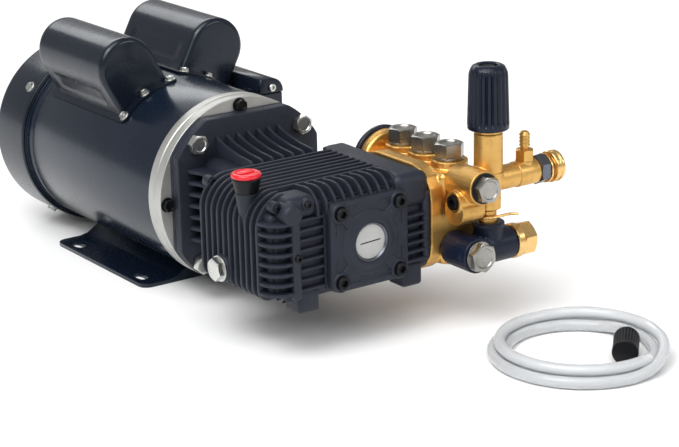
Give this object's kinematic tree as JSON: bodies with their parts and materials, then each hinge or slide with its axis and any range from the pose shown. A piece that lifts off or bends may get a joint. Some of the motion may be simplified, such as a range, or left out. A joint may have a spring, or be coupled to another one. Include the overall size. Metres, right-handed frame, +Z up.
{
  "type": "pressure washer pump",
  "caption": "Electric pressure washer pump: foot-mounted motor, flanged triplex plunger pump with brass head, unloader and couplings, and a coiled suction hose.",
  "frame": {"origin": "middle of the underside of the motor's foot, on the surface the pump stands on", "axes": "+Y along the motor's shaft away from the pump, +Z up, +X towards the brass head's side and its outlet"},
  "size_m": [0.2898, 0.692, 0.2189],
  "materials": {
    "motor_paint": "gloss dark blue-grey enamel",
    "machined_aluminium": "turned, bare",
    "cover_paint": "gloss dark blue-grey enamel",
    "lamination": "varnished laminations",
    "steel": "ground",
    "black_plastic": "satin, navy black",
    "cast_charcoal": "cast, painted satin charcoal",
    "zinc_plated": "bright zinc plate",
    "silver_disc": "matt silver",
    "black_oxide": "black oxide",
    "red_plastic": "gloss red",
    "ceramic": "polished ceramic",
    "brass": "cast and machined, satin",
    "nickel_plated": "bright nickel plate",
    "grey_steel": "dull grey plate",
    "bright_brass": "turned, bright",
    "clear_vinyl": "clear, faintly milky"
  },
  "bodies": {
    "base": {"motor_shell": "motor_paint", "front_end_bell": "machined_aluminium", "rear_end_bell": "motor_paint", "fan_cover": "cover_paint", "stator_core": "lamination", "front_motor_bearing": "steel", "rear_motor_bearing": "steel", "motor_foot": "motor_paint", "start_capacitor_cover": "cover_paint", "start_capacitor": "black_plastic", "run_capacitor_cover": "cover_paint", "run_capacitor": "black_plastic", "conduit_box": "cover_paint", "conduit_box_lid": "cover_paint", "flange_adaptor": "cast_charcoal", "flange_bolt_1": "zinc_plated", "flange_bolt_2": "zinc_plated", "flange_bolt_3": "zinc_plated", "flange_bolt_4": "zinc_plated", "crankcase": "cast_charcoal", "bearing_cover": "cast_charcoal", "sight_glass": "silver_disc", "cover_bolt_1": "black_oxide", "cover_bolt_2": "black_oxide", "cover_bolt_3": "black_oxide", "cover_bolt_4": "black_oxide", "drain_plug": "zinc_plated", "crank_bearing_rear": "steel", "crank_bearing_front": "steel", "manifold_head": "brass", "valve_cap_1": "nickel_plated", "valve_cap_2": "nickel_plated", "valve_cap_3": "nickel_plated", "head_end_cap": "black_plastic", "unloader_body": "brass", "unloader_plug": "nickel_plated", "thermal_plug": "black_oxide", "injector_barb": "brass", "outlet_nut": "grey_steel", "coupler_body": "bright_brass", "inlet_elbow": "black_plastic", "elbow_plug": "nickel_plated", "u_clip": "zinc_plated"},
    "shaft_line": {"rotor_shaft": "steel", "cooling_fan": "black_plastic", "crankshaft": "steel"},
    "rod_1": {"connecting_rod_1": "machined_aluminium"},
    "rod_2": {"connecting_rod_2": "machined_aluminium"},
    "rod_3": {"connecting_rod_3": "machined_aluminium"},
    "plunger_body_1": {"plunger_1": "ceramic"},
    "plunger_body_2": {"plunger_2": "ceramic"},
    "plunger_body_3": {"plunger_3": "ceramic"},
    "knob": {"pressure_knob": "black_plastic"},
    "adjuster": {"adjuster_spindle": "steel"},
    "sleeve": {"coupler_sleeve": "bright_brass"},
    "inlet_nut": {"swivel_nut": "bright_brass"},
    "dipstick": {"oil_dipstick": "red_plastic"},
    "suction_hose": {"hose_coil": "clear_vinyl", "hose_lead": "clear_vinyl", "suction_filter": "black_plastic"}
  },
  "joints": [
    {"name": "shaft_turn", "type": "hinge", "parent": "base", "child": "shaft_line", "pos_m": [0, 0, 0.0889], "axis": [0, 1, 0], "continuous": true},
    {"name": "rod_1_turn", "type": "hinge", "parent": "shaft_line", "child": "rod_1", "pos_m": [0.006, -0.2333, 0.0889], "axis": [0, 1, 0], "continuous": true},
    {"name": "rod_2_turn", "type": "hinge", "parent": "shaft_line", "child": "rod_2", "pos_m": [-0.003, -0.265, 0.0941], "axis": [0, 1, 0], "continuous": true},
    {"name": "rod_3_turn", "type": "hinge", "parent": "shaft_line", "child": "rod_3", "pos_m": [-0.003, -0.2967, 0.0837], "axis": [0, 1, 0], "continuous": true},
    {"name": "plunger_1_stroke", "type": "slide", "parent": "base", "child": "plunger_body_1", "axis": [1, 0, 0], "range_m": [-0.012, 0]},
    {"name": "plunger_2_stroke", "type": "slide", "parent": "base", "child": "plunger_body_2", "axis": [1, 0, 0], "range_m": [-0.003, 0.009]},
    {"name": "plunger_3_stroke", "type": "slide", "parent": "base", "child": "plunger_body_3", "axis": [1, 0, 0], "range_m": [-0.003, 0.009]},
    {"name": "knob_turn", "type": "hinge", "parent": "base", "child": "knob", "pos_m": [0.11, -0.332, 0.19], "axis": [0, 0, 1], "range_deg": [-1440, 0]},
    {"name": "spindle_travel", "type": "slide", "parent": "base", "child": "adjuster", "axis": [0, 0, 1], "range_m": [-0.006, 0.0001]},
    {"name": "sleeve_pull", "type": "slide", "parent": "base", "child": "sleeve", "axis": [1, 0, 0], "range_m": [-0.003, 0], "stiffness_N_per_m": 800, "springref_m": 0.001},
    {"name": "inlet_nut_turn", "type": "hinge", "parent": "base", "child": "inlet_nut", "pos_m": [0.14, -0.332, 0.0654], "axis": [1, 0, 0], "continuous": true},
    {"name": "dipstick_lift", "type": "slide", "parent": "base", "child": "dipstick", "axis": [0, 0, 1], "range_m": [0, 0.06]},
    {"name": "hose_lift", "type": "slide", "parent": "base", "child": "suction_hose", "axis": [0, 0, 1], "range_m": [0, 0.06]}
  ],
  "couplings": [
    {"joint": "rod_1_turn", "follows": "shaft_turn", "ratio": -1},
    {"joint": "rod_2_turn", "follows": "shaft_turn", "ratio": -1},
    {"joint": "rod_3_turn", "follows": "shaft_turn", "ratio": -1},
    {"joint": "spindle_travel", "follows": "knob_turn", "m_per_rad": 0.000238}
  ]
}
